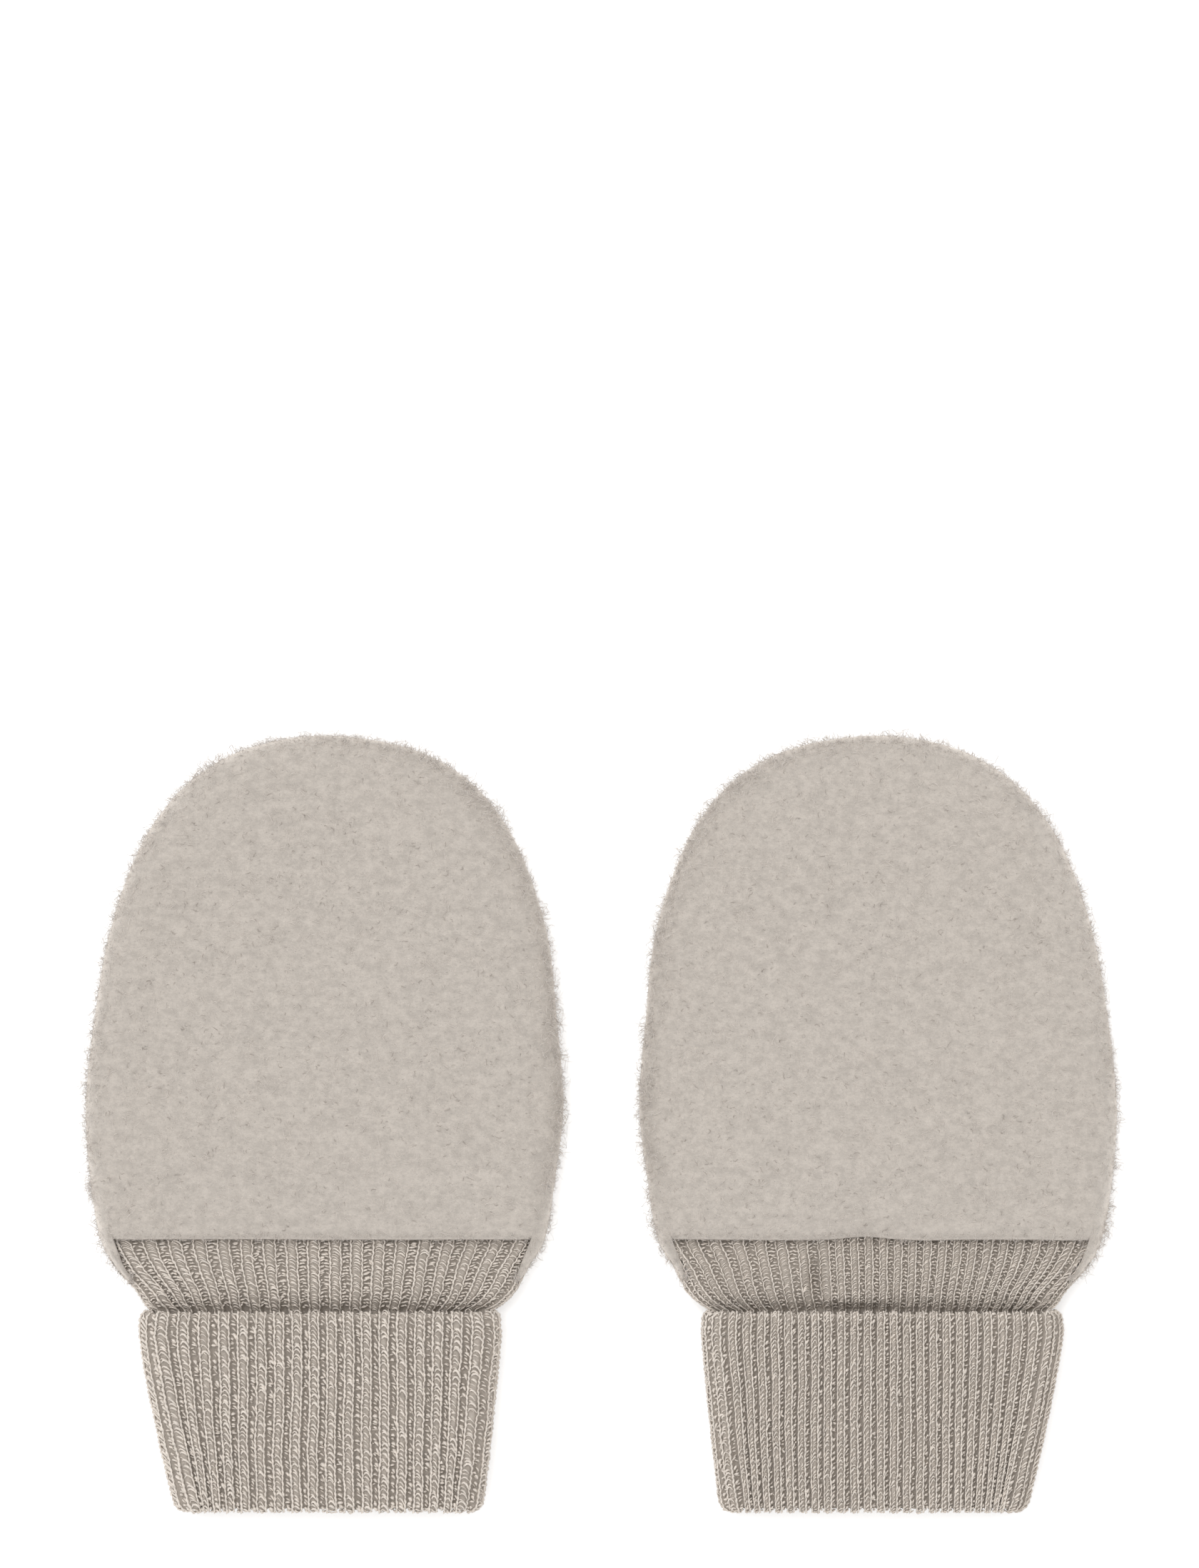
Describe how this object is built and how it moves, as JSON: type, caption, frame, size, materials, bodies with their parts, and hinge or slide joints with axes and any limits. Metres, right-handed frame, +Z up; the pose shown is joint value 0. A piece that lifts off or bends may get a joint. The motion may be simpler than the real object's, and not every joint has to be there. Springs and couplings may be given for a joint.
{
  "type": "pair of baby mittens",
  "caption": "Thumbless baby mittens in thick wool fleece with turned-up rib-knit cuffs, lying flat side by side.",
  "frame": {"origin": "middle of the pair's footprint, on the surface that the mittens lie on", "axes": "+X across the pair to the right mitten, +Y from the cuffs to the fingertips, +Z up from the surface"},
  "size_m": [0.193, 0.145, 0.0096],
  "materials": {
    "fleece": "brushed, slightly felted wool fleece",
    "rib": "soft rib knit of wool and cotton"
  },
  "bodies": {
    "root": {"left_front_panel": "fleece", "left_back_panel": "fleece", "left_rib_cuff": "rib", "right_front_panel": "fleece", "right_back_panel": "fleece", "right_rib_cuff": "rib"}
  },
  "joints": []
}
